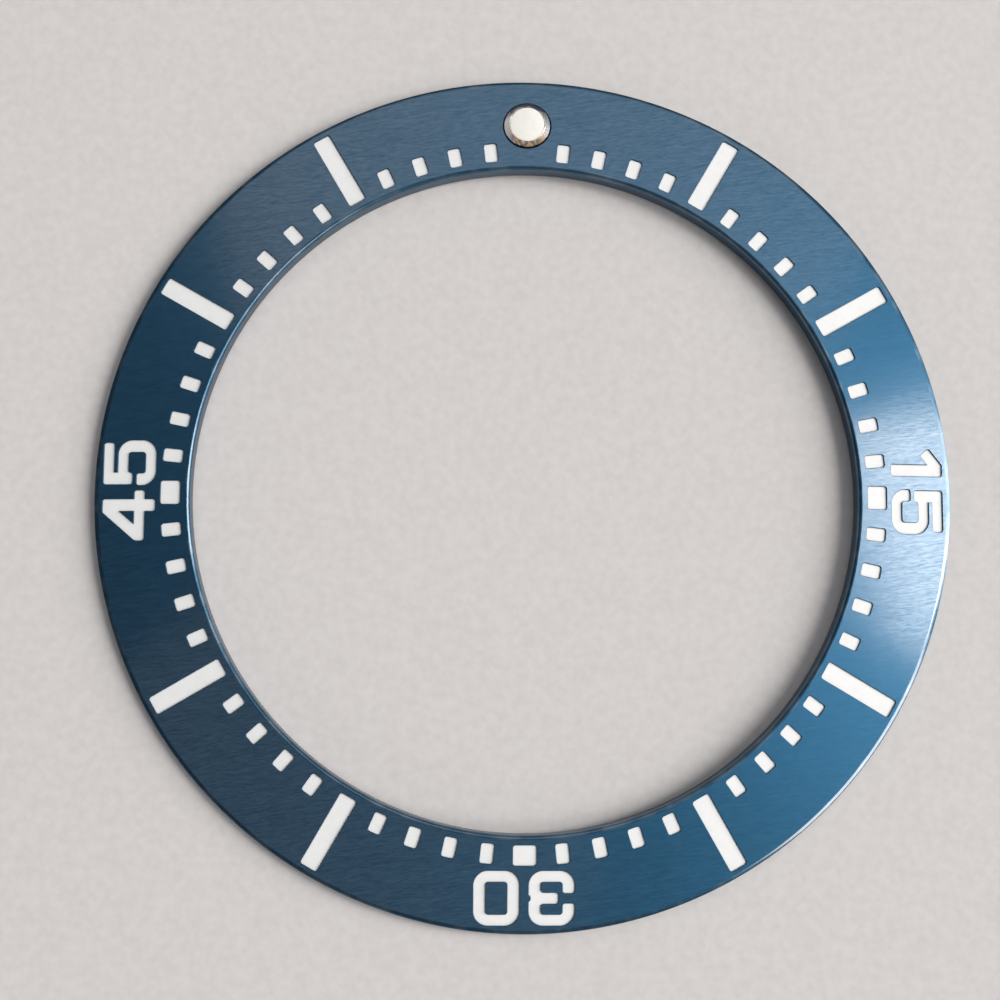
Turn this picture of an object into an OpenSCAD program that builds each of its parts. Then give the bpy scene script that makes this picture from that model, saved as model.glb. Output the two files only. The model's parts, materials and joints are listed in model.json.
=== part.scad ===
// Sixty-minute bezel insert of a diver's watch: a conical anodised ring with filled marks and a pearl.
// Millimetres. The origin is on the ring's axis in the plane of its flat back, +Z points out of the
// face and +Y points to the pearl at zero, so minutes run clockwise when the face is seen from above.

/* [Ring] */
// Outer diameter
outer_d = 39.0; // [36:0.1:44]
// Width of the ring from the outer edge to the bore
ring_w = 4.35; // [4.00:0.05:4.80]
// Height of the face above the back at the outer edge
rim_h = 0.50; // [0.45:0.01:0.70]
// Fall of the conical face towards the rim, in degrees
face_slope = 5.9; // [4:0.1:8]
// Bevel between the face and the outer wall
rim_bevel = 0.08; // [0.03:0.01:0.12]
// Bevel between the face and the bore
bore_bevel = 0.05; // [0.02:0.01:0.10]
// Bevel along both edges of the back
back_bevel = 0.05; // [0.02:0.01:0.10]

/* [Pockets and fills] */
// Depth of the engraved pockets below the face
pocket_depth = 0.25; // [0.18:0.01:0.30]
// Step from the face down to the top of the fill
fill_drop = 0.08; // [0.02:0.01:0.12]
// Corner radius of the ticks, blocks and bars
mark_corner_r = 0.12; // [0.05:0.01:0.20]

/* [Minute track] */
// Land between the bore and the feet of the marks
track_land = 0.43; // [0.30:0.01:0.55]
// Length of a tick or block along the radius
tick_l = 0.90; // [0.70:0.01:1.00]
// Width of a minute tick
tick_w = 0.60; // [0.50:0.01:0.70]
// Width of the blocks under the numerals
block_w = 1.06; // [0.80:0.01:1.20]
// Width of the five-minute bars
bar_w = 0.84; // [0.60:0.01:1.00]
// Land between the outer ends of the bars and the rim
bar_land = 0.34; // [0.25:0.01:0.60]

/* [Numerals] */
// Land between the blocks and the feet of the numerals
foot_land = 0.22; // [0.15:0.01:0.30]
// Land between the tops of the numerals and the rim
top_land = 0.38; // [0.30:0.01:0.50]
// Width of the upright strokes
upright_w = 0.54; // [0.45:0.01:0.58]
// Width of the level strokes
level_w = 0.49; // [0.40:0.01:0.50]
// Width of the figures zero, three and five
round_w = 2.05; // [1.90:0.01:2.15]
// Width of the figure four
four_w = 2.27; // [2.15:0.01:2.35]
// Width of the figure one
one_w = 1.33; // [1.20:0.01:1.40]
// Outer corner radius of the round figures
bowl_r = 0.65; // [0.50:0.01:0.70]
// Corner radius of the enclosed counters
counter_r = 0.14; // [0.06:0.01:0.15]
// Corner radius of the stroke ends
end_r = 0.12; // [0.05:0.01:0.14]
// Gap between the two arms on the open side of the three
three_mouth = 0.45; // [0.35:0.01:0.55]
// Shortening of the middle arm of the three against the outer arms
three_arm_short = 0.18; // [0.10:0.01:0.30]
// Depth of the nick where the two bowls of the three meet
three_nick = 0.09; // [0.04:0.01:0.14]
// Width of the slot and of the slit in the five
five_slit = 0.17; // [0.12:0.01:0.20]
// Drop of the stem of the five below the underside of its bowl's top
five_stem_drop = 0.20; // [0.15:0.01:0.30]
// Distance that the top arm of the five stops short of its bowl
five_arm_short = 0.11; // [0.05:0.01:0.25]
// Set-back of the stem of the five from its lower arm
five_stem_in = 0.04; // [0.00:0.01:0.06]
// Height of the crossbar of the four above its foot
four_foot = 0.48; // [0.40:0.01:0.52]
// Length of the crossbar that stands past the stem of the four
four_stub = 0.40; // [0.30:0.01:0.50]
// Drop of the shoulder of the four, where its left end meets the slope, below the crossbar's top
four_shoulder_drop = 0.05; // [0.00:0.01:0.10]
// Radius of that shoulder
four_shoulder_r = 0.30; // [0.15:0.01:0.35]
// Distance that the peak of the four stands to the left of its stem
four_peak_lead = 0.06; // [0.00:0.01:0.12]
// Length of the flag of the one
flag_l = 0.98; // [0.80:0.01:1.02]
// Width of the flag of the one
flag_w = 0.52; // [0.40:0.01:0.54]
// Angle of the flag of the one against the level
flag_angle = 39; // [34:1:44]
// Gap between the two figures of 15
gap_15 = 0.61; // [0.50:0.01:0.70]
// Gap between the two figures of 30
gap_30 = 0.40; // [0.30:0.01:0.50]
// Gap between the two figures of 45
gap_45 = 0.23; // [0.18:0.01:0.35]
// Sideways place of the gap in 15, clockwise from its block
shift_15 = -0.72; // [-0.80:0.01:-0.60]
// Sideways place of the gap in 30, clockwise from its block
shift_30 = 0.02; // [-0.10:0.01:0.10]
// Sideways place of the gap in 45, clockwise from its block
shift_45 = 0.21; // [0.10:0.01:0.30]

/* [Pearl] */
// Distance of the pearl's axis from the outer edge
pearl_inset = 2.20; // [2.00:0.01:2.30]
// Diameter of the pearl's cup
cup_d = 2.14; // [2.00:0.01:2.30]
// Gap around the cup in its hole
cup_gap = 0.05; // [0.02:0.01:0.08]
// Height of the cup's lip above the face
lip_stand = 0.26; // [0.15:0.01:0.35]
// Height of the polished bevel below the lip
cup_bevel_h = 0.24; // [0.15:0.01:0.30]
// Width of the flat lip around the lume
lip_w = 0.03; // [0.02:0.01:0.06]
// Thickness of the ring left under the cup as its seat
seat_h = 0.25; // [0.20:0.01:0.30]
// Diameter of the stem that locates the cup
stem_d = 1.30; // [1.00:0.01:1.60]
// Gap around the stem in its hole
stem_gap = 0.01; // [0.005:0.005:0.02]
// Set-back of the stem's end from the back of the ring
stem_back = 0.05; // [0.02:0.01:0.08]
// Diameter of the lume pellet
lume_d = 1.60; // [1.40:0.01:1.66]
// Gap around the pellet in its cup
lume_gap = 0.01; // [0.005:0.005:0.02]
// Thickness of the pellet at its edge
lume_h = 0.33; // [0.25:0.01:0.36]
// Depth of the pellet's edge below the lip
lume_drop = 0.02; // [0.01:0.01:0.03]
// Rise of the pellet's domed top
lume_dome = 0.05; // [0.03:0.01:0.08]

/* [Hidden] */
full_turn = 360;
minutes = 60;
minute_angle = full_turn / minutes;
five = 5;
quarters = [15, 30, 45];
bar_minutes = [5, 10, 20, 25, 35, 40, 50, 55];
tick_groups = [for (m = [0:five:minutes - 1]) m];
figure_words = ["zero", "one", "two", "three", "four", "five"];

outer_r = outer_d / 2;
inner_r = outer_r - ring_w;
track_r = inner_r + track_land;
bar_l = outer_r - bar_land - track_r;
figure_r = track_r + tick_l + foot_land;
figure_h = outer_r - top_land - figure_r;
pearl_r = outer_r - pearl_inset;
lip_z = face_z(pearl_r) + lip_stand;
lume_floor_z = lip_z - lume_drop - lume_h;
over = 1;
prism_h = face_z(inner_r) + over;
ring_fn = 240;
arc_fn = 32;
corner_steps = 8;
most_of_half = 0.45;

// Minute, figure, and the figure's left edge measured clockwise from the numeral's block
figures = [
    [15, 1, shift_15 - gap_15 / 2 - figure_w(1)],
    [15, 5, shift_15 + gap_15 / 2],
    [30, 3, shift_30 - gap_30 / 2 - figure_w(3)],
    [30, 0, shift_30 + gap_30 / 2],
    [45, 4, shift_45 - gap_45 / 2 - figure_w(4)],
    [45, 5, shift_45 + gap_45 / 2],
];

function two_digits(n) = n < 10 ? str("0", n) : str(n);
function tick_node(m) = str("minute_ticks_", two_digits(m + 1), "_", two_digits(m + five - 1));
function block_node(m) = str("quarter_block_", two_digits(m));
function bar_node(m) = str("five_minute_bar_", two_digits(m));
function figure_node(f) = str("numeral_", f[0], "_", figure_words[f[1]]);
function figure_w(n) = n == 1 ? one_w : n == 4 ? four_w : round_w;

// Height of the conical face at a distance from the axis
function face_z(r) = rim_h + (outer_r - r) * tan(face_slope);

function unit(v) = v / norm(v);

// Arc of radius r that rounds the corner p of an outline on its way from a to b
function corner_arc(a, p, b, r) =
    r == 0 ? [p] :
    let (
        back = unit(a - p),
        on = unit(b - p),
        half = acos(back * on) / 2,
        centre = p + unit(back + on) * r / sin(half),
        first = p + back * r / tan(half) - centre,
        last = p + on * r / tan(half) - centre,
        start = atan2(first[1], first[0]),
        turn = (atan2(last[1], last[0]) - start + 1.5 * full_turn) % full_turn - full_turn / 2
    )
    [for (i = [0:corner_steps]) let (t = start + turn * i / corner_steps) centre + r * [cos(t), sin(t)]];

// Closed outline through corners given as [x, y, radius]
function rounded_path(corners) =
    let (n = len(corners), xy = [for (c = corners) [c[0], c[1]]])
    [for (i = [0:n - 1]) each corner_arc(xy[(i + n - 1) % n], xy[i], xy[(i + 1) % n], corners[i][2])];

module at_minute(m) {
    rotate(-m * minute_angle) children();
}

// Rectangle with rounded corners and its lower left corner at the origin. A corner that its sides
// can't hold is made smaller.
module rounded_box(w, h, corner_r) {
    r = min(corner_r, most_of_half * w, most_of_half * h);
    translate([r, 0]) square([w - 2 * r, h]);
    translate([0, r]) square([w, h - 2 * r]);
    for (x = [r, w - r], y = [r, h - r])
        translate([x, y]) circle(r, $fn = arc_fn);
}

// Outlines of the marks, drawn as if they stood at zero and read outwards
module track_mark(w, l) {
    translate([-w / 2, track_r]) rounded_box(w, l, mark_corner_r);
}

module stroke_end() {
    rounded_box(upright_w, 3 * end_r, end_r);
}

module bowl(h) {
    difference() {
        rounded_box(round_w, h, bowl_r);
        translate([upright_w, level_w])
            rounded_box(round_w - 2 * upright_w, h - 2 * level_w, counter_r);
    }
}

module figure_zero() {
    bowl(figure_h);
}

module figure_one() {
    stem_x = one_w - upright_w;
    translate([stem_x, 0]) rounded_box(upright_w, figure_h, end_r);
    intersection() {
        square([one_w, figure_h]);
        translate([stem_x, figure_h]) rotate(flag_angle) translate([-flag_l, -flag_w])
            rounded_box(flag_l + upright_w / 2, flag_w, end_r);
    }
}

module figure_three() {
    middle = figure_h / 2;
    mouth = three_mouth / 2;
    arm_x = upright_w + three_arm_short;
    counter_w = round_w - 2 * upright_w;
    counter_h = (figure_h - 3 * level_w) / 2;
    nick_r = 2 * three_nick;
    difference() {
        rounded_box(round_w, figure_h, bowl_r);
        for (y = [level_w, middle + level_w / 2])
            translate([upright_w, y]) rounded_box(counter_w, counter_h, counter_r);
        translate([upright_w, level_w + counter_r])
            square([three_arm_short + end_r, figure_h - 2 * (level_w + counter_r)]);
        translate([-over, middle - mouth - end_r])
            square([upright_w + over, three_mouth + 2 * end_r]);
        translate([round_w + nick_r - three_nick, middle]) circle(nick_r, $fn = arc_fn);
    }
    translate([0, middle - mouth - 3 * end_r]) stroke_end();
    translate([0, middle + mouth]) stroke_end();
    translate([arm_x, middle - level_w / 2]) rounded_box(counter_w, level_w, end_r);
}

module figure_four() {
    stem_x = four_w - four_stub - upright_w;
    stem_end = stem_x + upright_w;
    crossbar_top = four_foot + level_w;
    shoulder = [0, crossbar_top - four_shoulder_drop];
    peak = [stem_x - four_peak_lead, figure_h];
    slope = unit(peak - shoulder);
    inside = shoulder + [slope[1], -slope[0]] * upright_w;
    counter_x = inside[0] + (crossbar_top - inside[1]) * slope[0] / slope[1];
    counter_y = inside[1] + (stem_x - inside[0]) * slope[1] / slope[0];
    difference() {
        polygon(rounded_path([
            [stem_x, 0, end_r],
            [stem_end, 0, end_r],
            [stem_end, four_foot, 0],
            [four_w, four_foot, end_r],
            [four_w, crossbar_top, end_r],
            [stem_end, crossbar_top, 0],
            [stem_end, figure_h, end_r],
            [peak[0], peak[1], end_r],
            [shoulder[0], shoulder[1], four_shoulder_r],
            [0, four_foot, end_r],
            [stem_x, four_foot, 0],
        ]));
        polygon([[counter_x, crossbar_top], [stem_x, counter_y], [stem_x, crossbar_top]]);
    }
}

module figure_five() {
    bowl_h = figure_h - level_w - five_slit;
    stem_foot = bowl_h - level_w - five_stem_drop;
    arm_top = stem_foot - five_slit;
    difference() {
        bowl(bowl_h);
        translate([-over, arm_top - end_r]) square([upright_w + over, bowl_h]);
    }
    translate([0, arm_top - 3 * end_r]) stroke_end();
    translate([five_stem_in, stem_foot]) rounded_box(upright_w, figure_h - stem_foot, end_r);
    translate([five_stem_in, figure_h - level_w])
        rounded_box(round_w - five_arm_short - five_stem_in, level_w, end_r);
}

module figure_outline(f) {
    at_minute(f[0]) translate([f[2], figure_r]) {
        if (f[1] == 0) figure_zero();
        if (f[1] == 1) figure_one();
        if (f[1] == 3) figure_three();
        if (f[1] == 4) figure_four();
        if (f[1] == 5) figure_five();
    }
}

module tick_outlines(m) {
    for (k = [1:five - 1]) at_minute(m + k) track_mark(tick_w, tick_l);
}

module block_outline(m) {
    at_minute(m) track_mark(block_w, tick_l);
}

module bar_outline(m) {
    at_minute(m) track_mark(bar_w, bar_l);
}

// Layer that follows the conical face, from one depth below it up to another
module face_layer(low, high) {
    rotate_extrude($fn = ring_fn)
        polygon([
            [inner_r, face_z(inner_r) - low],
            [outer_r, face_z(outer_r) - low],
            [outer_r, face_z(outer_r) - high],
            [inner_r, face_z(inner_r) - high],
        ]);
}

// The white fill fills its pocket from wall to wall, so both take the same outline
module fill() {
    color([0.96, 0.96, 0.94]) intersection() {
        face_layer(pocket_depth, fill_drop);
        linear_extrude(height = prism_h) children();
    }
}

module pockets() {
    intersection() {
        face_layer(pocket_depth, -over);
        linear_extrude(height = prism_h) {
            for (m = tick_groups) tick_outlines(m);
            for (m = quarters) block_outline(m);
            for (m = bar_minutes) bar_outline(m);
            for (f = figures) figure_outline(f);
        }
    }
}

module ring_blank() {
    rotate_extrude($fn = ring_fn)
        polygon([
            [inner_r + back_bevel, 0],
            [outer_r - back_bevel, 0],
            [outer_r, back_bevel],
            [outer_r, face_z(outer_r) - rim_bevel],
            [outer_r - rim_bevel, face_z(outer_r - rim_bevel)],
            [inner_r + bore_bevel, face_z(inner_r + bore_bevel)],
            [inner_r, face_z(inner_r) - bore_bevel],
            [inner_r, back_bevel],
        ]);
}

module pearl_hole() {
    translate([0, pearl_r, seat_h]) cylinder(r = cup_d / 2 + cup_gap, h = prism_h, $fn = arc_fn);
    translate([0, pearl_r, -over]) cylinder(r = stem_d / 2 + stem_gap, h = prism_h, $fn = arc_fn);
}

module insert_ring() {
    color([0.16, 0.36, 0.52]) difference() {
        ring_blank();
        pockets();
        pearl_hole();
    }
}

module pearl_cup() {
    pocket_r = lume_d / 2 + lume_gap;
    color([0.82, 0.80, 0.77]) translate([0, pearl_r, 0]) rotate_extrude($fn = ring_fn)
        polygon([
            [0, stem_back],
            [stem_d / 2, stem_back],
            [stem_d / 2, seat_h],
            [cup_d / 2, seat_h],
            [cup_d / 2, lip_z - cup_bevel_h],
            [pocket_r + lip_w, lip_z],
            [pocket_r, lip_z],
            [pocket_r, lume_floor_z],
            [0, lume_floor_z],
        ]);
}

module pearl_lume() {
    edge_r = lume_d / 2;
    dome_r = (pow(edge_r, 2) + pow(lume_dome, 2)) / (2 * lume_dome);
    crown_z = lume_floor_z + lume_h + lume_dome;
    color([0.97, 0.96, 0.90]) translate([0, pearl_r, 0]) intersection() {
        translate([0, 0, lume_floor_z]) cylinder(r = edge_r, h = lume_h + lume_dome, $fn = arc_fn);
        translate([0, 0, crown_z - dome_r]) sphere(dome_r, $fn = ring_fn);
    }
}

insert_ring();
pearl_cup();
pearl_lume();
for (m = tick_groups) fill() tick_outlines(m);
for (m = quarters) fill() block_outline(m);
for (m = bar_minutes) fill() bar_outline(m);
for (f = figures) fill() figure_outline(f);
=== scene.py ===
"""Looks of a watch bezel insert: brushed anodised ring, white engraved scale and cupped pearl.

Every visible piece is made again as a closed surface whose edges are slightly rounded, from the
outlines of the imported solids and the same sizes. Lengths are millimetres until a mesh is made.
"""

from __future__ import annotations

import json
import logging
import math
from collections.abc import Sequence
from dataclasses import dataclass, field
from enum import Enum

import bpy
import numpy as np
from mathutils import Matrix, Vector
from mathutils.geometry import delaunay_2d_cdt


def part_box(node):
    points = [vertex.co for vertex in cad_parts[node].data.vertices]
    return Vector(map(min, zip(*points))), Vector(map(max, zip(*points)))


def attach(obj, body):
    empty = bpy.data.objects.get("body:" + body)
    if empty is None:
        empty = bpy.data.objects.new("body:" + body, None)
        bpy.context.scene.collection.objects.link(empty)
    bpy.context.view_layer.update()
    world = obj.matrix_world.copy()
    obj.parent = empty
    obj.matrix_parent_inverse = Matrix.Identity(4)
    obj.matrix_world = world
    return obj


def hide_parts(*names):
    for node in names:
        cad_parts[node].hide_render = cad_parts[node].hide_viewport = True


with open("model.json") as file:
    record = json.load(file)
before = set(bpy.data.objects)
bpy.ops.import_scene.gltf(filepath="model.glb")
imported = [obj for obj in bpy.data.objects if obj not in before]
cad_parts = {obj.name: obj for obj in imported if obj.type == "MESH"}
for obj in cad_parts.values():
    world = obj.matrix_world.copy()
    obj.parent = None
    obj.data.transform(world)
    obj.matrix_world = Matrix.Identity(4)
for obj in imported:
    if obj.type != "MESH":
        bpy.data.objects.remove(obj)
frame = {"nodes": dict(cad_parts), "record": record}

log = logging.getLogger("bezel_insert")

MM = 0.001  # metres in a millimetre
WELD = 1e-4  # points closer than this, in millimetres, are one
NO_AREA = 1e-10  # twice the area of a triangle that is left out
UPWARDS = 0.7  # least upright part of the normal of a top face
BATCH = 500  # places that are tested at a time
SENSOR = 36.0  # width of the camera's sensor
BODY = "root"

Triple = tuple[float, float, float]
Rgba = tuple[float, float, float, float]
CornerList = Sequence[Triple]


class Slot(Enum):
    """Material slots of the record."""

    RING = "anodised_ring"
    FILL = "white_fill"
    CUP = "polished_cup"
    LUME = "lume"


# Geometry


def unit(vectors: np.ndarray) -> np.ndarray:
    """Vectors along the last axis brought to length one; a zero vector stays zero."""
    return vectors / np.maximum(np.linalg.norm(vectors, axis=-1, keepdims=True), 1e-12)


@dataclass(frozen=True)
class Cone:
    """The conical face of the ring.

    Attributes:
        rim_r: distance of the outer edge from the axis.
        rim_h: height of the face there.
        slope: fall of the face towards the rim, in degrees.
    """

    rim_r: float
    rim_h: float = 0.50
    slope: float = 5.9

    @property
    def fall(self) -> float:
        """Height lost for each millimetre outwards."""
        return math.tan(math.radians(self.slope))

    def height(self, plan: np.ndarray) -> np.ndarray:
        """Height of the face: rim height + (rim radius - distance from the axis) * fall."""
        return self.rim_h + (self.rim_r - np.linalg.norm(plan, axis=-1)) * self.fall

    def at(self, radius: float) -> float:
        """Height of the face at one distance from the axis."""
        return float(self.height(np.array([radius, 0.0])))

    def lean(self, plan: np.ndarray) -> np.ndarray:
        """Outward plan vector, as long as the fall, that tilts an upright normal onto the cone."""
        return unit(plan) * self.fall


@dataclass(frozen=True)
class Section:
    """A profile of offsets and heights that is carried along an outline, solid on its right side.

    Attributes:
        offsets: distance outwards from the outline, one for each row.
        heights: height of each row.
        on_cone: 1 where the height counts from the conical face, 0 where it counts from the back.
        normals: outward and upward parts of each row's normal.
    """

    offsets: np.ndarray
    heights: np.ndarray
    on_cone: np.ndarray
    normals: np.ndarray

    @classmethod
    def through(cls, corners: CornerList, on_cone: bool = False, steps: int = 4) -> Section:
        """Profile along straight legs with rounded corners.

        A corner of radius r becomes the arc that touches both legs: it starts r * tan(turn / 2)
        before the corner, its centre stands r to the side, and its normal turns evenly from one
        leg's to the other's. With radius 0 the rows fall together and leave a crease.

        Args:
            corners: offset, height and rounding radius of each corner, the ends' radius unused.
            on_cone: whether the heights count from the conical face.
            steps: number of facets in each rounded corner.

        Returns:
            The profile.
        """
        table = np.asarray(corners, float)
        places, radii = table[:, :2], table[1:-1, 2]
        ways = unit(np.diff(places, axis=0))
        lefts = np.stack([-ways[:, 1], ways[:, 0]], 1)
        before, after = ways[:-1], ways[1:]
        cross = before[:, 0] * after[:, 1] - before[:, 1] * after[:, 0]
        turns = np.arctan2(cross, (before * after).sum(1))
        share = np.linspace(0, 1, steps + 1)
        angles = np.arctan2(lefts[:-1, 1], lefts[:-1, 0])[:, None] + turns[:, None] * share
        fans = np.stack([np.cos(angles), np.sin(angles)], -1)
        sides = np.sign(turns)[:, None]
        starts = places[1:-1] - before * (radii * np.tan(np.abs(turns) / 2))[:, None]
        centres = starts + sides * radii[:, None] * lefts[:-1]
        arcs = centres[:, None] - sides[:, None] * radii[:, None, None] * fans
        rows = np.concatenate([places[:1], arcs.reshape(-1, 2), places[-1:]])
        normals = np.concatenate([lefts[:1], fans.reshape(-1, 2), lefts[-1:]])
        return cls(rows[:, 0], rows[:, 1], np.full(len(rows), float(on_cone)), normals)

    @classmethod
    def curve(cls, offsets: np.ndarray, heights: np.ndarray, rises: np.ndarray, on_cone: bool = False) -> Section:
        """Profile of a smooth curve that runs outwards.

        Args:
            offsets: offsets of the rows, growing.
            heights: their heights.
            rises: slope of the curve at each row, so the normal is (-rise, 1) brought to length one.
            on_cone: whether the heights count from the conical face.

        Returns:
            The profile.
        """
        normals = unit(np.stack([-rises, np.ones_like(rises)], 1))
        return cls(offsets, heights, np.full(len(offsets), float(on_cone)), normals)

    def __add__(self, other: Section) -> Section:
        """This profile followed by another, with a strip between them."""
        return Section(
            np.concatenate([self.offsets, other.offsets]),
            np.concatenate([self.heights, other.heights]),
            np.concatenate([self.on_cone, other.on_cone]),
            np.concatenate([self.normals, other.normals]),
        )


@dataclass(frozen=True)
class Outline:
    """Closed outlines in plan, all in one set of arrays with a row for each point.

    Attributes:
        points: the points, counter-clockwise round what is solid and clockwise round a counter.
        miters: the way a point moves when its outline grows by one millimetre.
        starts: outward normal at the start of the edge that leaves the point.
        ends: outward normal at the end of that edge.
        following: index of the point at the end of that edge.
    """

    points: np.ndarray
    miters: np.ndarray
    starts: np.ndarray
    ends: np.ndarray
    following: np.ndarray

    @classmethod
    def around(cls, loops: Sequence[np.ndarray], crease: float = 25.0) -> Outline:
        """Outlines through loops of points.

        The normal n of an edge stands on its right. A point moves by (n1 + n2) / (1 + n1 . n2) of
        its two edges, which keeps both edges parallel to themselves.

        Args:
            loops: one array of points for each closed loop.
            crease: turn in degrees above which the edges keep their own normals at a point.

        Returns:
            The outlines.
        """
        lengths = np.array([len(loop) for loop in loops])
        points = np.concatenate(loops)
        index = np.arange(len(points))
        firsts = np.repeat(np.cumsum(lengths) - lengths, lengths)
        following = np.where(index + 1 < firsts + np.repeat(lengths, lengths), index + 1, firsts)
        before = np.empty_like(index)
        before[following] = index
        along = unit(points[following] - points)
        later = np.stack([along[:, 1], -along[:, 0]], 1)
        earlier = later[before]
        cosine = (later * earlier).sum(1, keepdims=True)
        smooth = cosine > math.cos(math.radians(crease))
        mean = unit(later + earlier)
        starts = np.where(smooth, mean, later)
        ends = np.where(smooth, mean, earlier)[following]
        return cls(points, (later + earlier) / (1 + cosine), starts, ends, following)

    @classmethod
    def circle(cls, centre: tuple[float, float], count: int) -> Outline:
        """A circle of no radius about a centre, so that a profile's offsets are its radii.

        Args:
            centre: the centre in plan.
            count: number of points.

        Returns:
            The circle.
        """
        turn = np.linspace(0, 2 * math.pi, count, endpoint=False)
        spokes = np.stack([np.cos(turn), np.sin(turn)], 1)
        following = np.roll(np.arange(count), -1)
        points = np.broadcast_to(np.asarray(centre, float), spokes.shape)
        return cls(points, spokes, spokes, spokes[following], following)

    def grown(self, offset: float) -> np.ndarray:
        """Points of the outlines moved outwards by an offset."""
        return self.points + offset * self.miters


def ordered_loops(starts: np.ndarray, ends: np.ndarray) -> list[np.ndarray]:
    """Chains directed edges into closed loops.

    Each point looks 1, 2, 4 ... steps ahead until it knows the lowest point of its loop, then
    counts its steps to that point in the same way. Sorting by both puts every loop in order.

    Args:
        starts: index of the point where each edge starts.
        ends: index of the point where it ends.

    Returns:
        One array of point indices for each loop.
    """
    ids, place = np.unique(starts, return_inverse=True)
    index = np.arange(len(ids))
    follow = np.empty_like(index)
    follow[place] = np.searchsorted(ids, ends)
    doublings = range(len(ids).bit_length())
    head, jump = index, follow
    for _ in doublings:
        head, jump = np.minimum(head, head[jump]), jump[jump]
    left = np.where(head == index, 0, 1)
    jump = np.where(head == index, index, follow)
    for _ in doublings:
        left, jump = left + left[jump], jump[jump]
    order = np.lexsort((-np.where(left == 0, len(ids), left), head))
    return np.split(ids[order], np.flatnonzero(np.diff(head[order])) + 1)


def refined(loop: np.ndarray, longest: float) -> np.ndarray:
    """A loop whose edges are cut into equal parts no longer than a length.

    Args:
        loop: points of a closed loop.
        longest: greatest length of an edge.

    Returns:
        The loop with the points between start + (end - start) * part / parts added.
    """
    edges = np.roll(loop, -1, axis=0) - loop
    parts = np.maximum(np.ceil(np.linalg.norm(edges, axis=1) / longest), 1).astype(int)
    index = np.repeat(np.arange(len(loop)), parts)
    step = np.arange(len(index)) - np.repeat(np.cumsum(parts) - parts, parts)
    return loop[index] + edges[index] * (step / parts[index])[:, None]


def cad_outlines(node: bpy.types.Object) -> list[np.ndarray]:
    """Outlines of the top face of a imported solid, seen in plan.

    The triangles that face upwards are welded, and an edge that only one of them has is a part of
    the outline.

    Args:
        node: a node of the frame, whose mesh is loose triangles.

    Returns:
        Closed loops of points in millimetres.
    """
    mesh = node.data
    places = np.empty(len(mesh.vertices) * 3, np.float32)
    corners = np.empty(len(mesh.loops), np.int32)
    mesh.vertices.foreach_get("co", places)
    mesh.loops.foreach_get("vertex_index", corners)
    faces = places.reshape(-1, 3).astype(float)[corners].reshape(-1, 3, 3) / MM
    normals = np.cross(faces[:, 1] - faces[:, 0], faces[:, 2] - faces[:, 0])
    plan = faces[unit(normals)[:, 2] > UPWARDS][:, :, :2].reshape(-1, 2)
    keys = np.round(plan / WELD).astype(np.int64)
    _, first, place = np.unique(keys, axis=0, return_index=True, return_inverse=True)
    points, corners = plan[first], place.reshape(-1, 3)
    starts, ends = corners.ravel(), np.roll(corners, -1, axis=1).ravel()
    single = ~np.isin(starts * len(points) + ends, ends * len(points) + starts)
    return [points[loop] for loop in ordered_loops(starts[single], ends[single])]


def odd_inside(places: np.ndarray, points: np.ndarray, following: np.ndarray) -> np.ndarray:
    """Tells which places lie inside an odd number of outlines.

    A ray to the right of the place (x, y) crosses the edge from a to b where a and b are on both
    sides of y and a.x + (y - a.y) * (b.x - a.x) / (b.y - a.y) is greater than x.

    Args:
        places: places to test.
        points: points of the outlines.
        following: index of the point after each point.

    Returns:
        One boolean for each place.
    """
    (ax, ay), (bx, by) = points.T, points[following].T
    lean = (bx - ax) / np.where(by == ay, 1.0, by - ay)
    inside = []
    for part in np.array_split(places, len(places) // BATCH + 1):
        x, y = part[:, :1], part[:, 1:]
        crossed = ((ay > y) != (by > y)) & (ax + (y - ay) * lean > x)
        inside.append(crossed.sum(1) % 2 == 1)
    return np.concatenate(inside)


def filled(
    points: np.ndarray, following: np.ndarray, free: np.ndarray | None = None
) -> tuple[np.ndarray, np.ndarray]:
    """Triangles over the area between outlines: a constrained Delaunay triangulation of their
    points, from which the triangles whose middle is outside or in a hole are dropped.

    Args:
        points: points of the outlines.
        following: index of the point after each point.
        free: further points that only make the triangles more even.

    Returns:
        The plan points, the outlines' own first, and three indices for each triangle.
    """
    plan = points if free is None else np.concatenate([points, free])
    edges = np.stack([np.arange(len(points)), following], 1).tolist()
    places, _, faces, *_ = delaunay_2d_cdt([Vector(p) for p in plan.tolist()], edges, [], 0, 1e-7)
    if len(places) > len(plan):
        plan = np.concatenate([plan, np.array([p[:] for p in places[len(plan) :]])])
    triangles = np.array(faces, int)
    return plan, triangles[odd_inside(plan[triangles].mean(1), points, following)]


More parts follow.
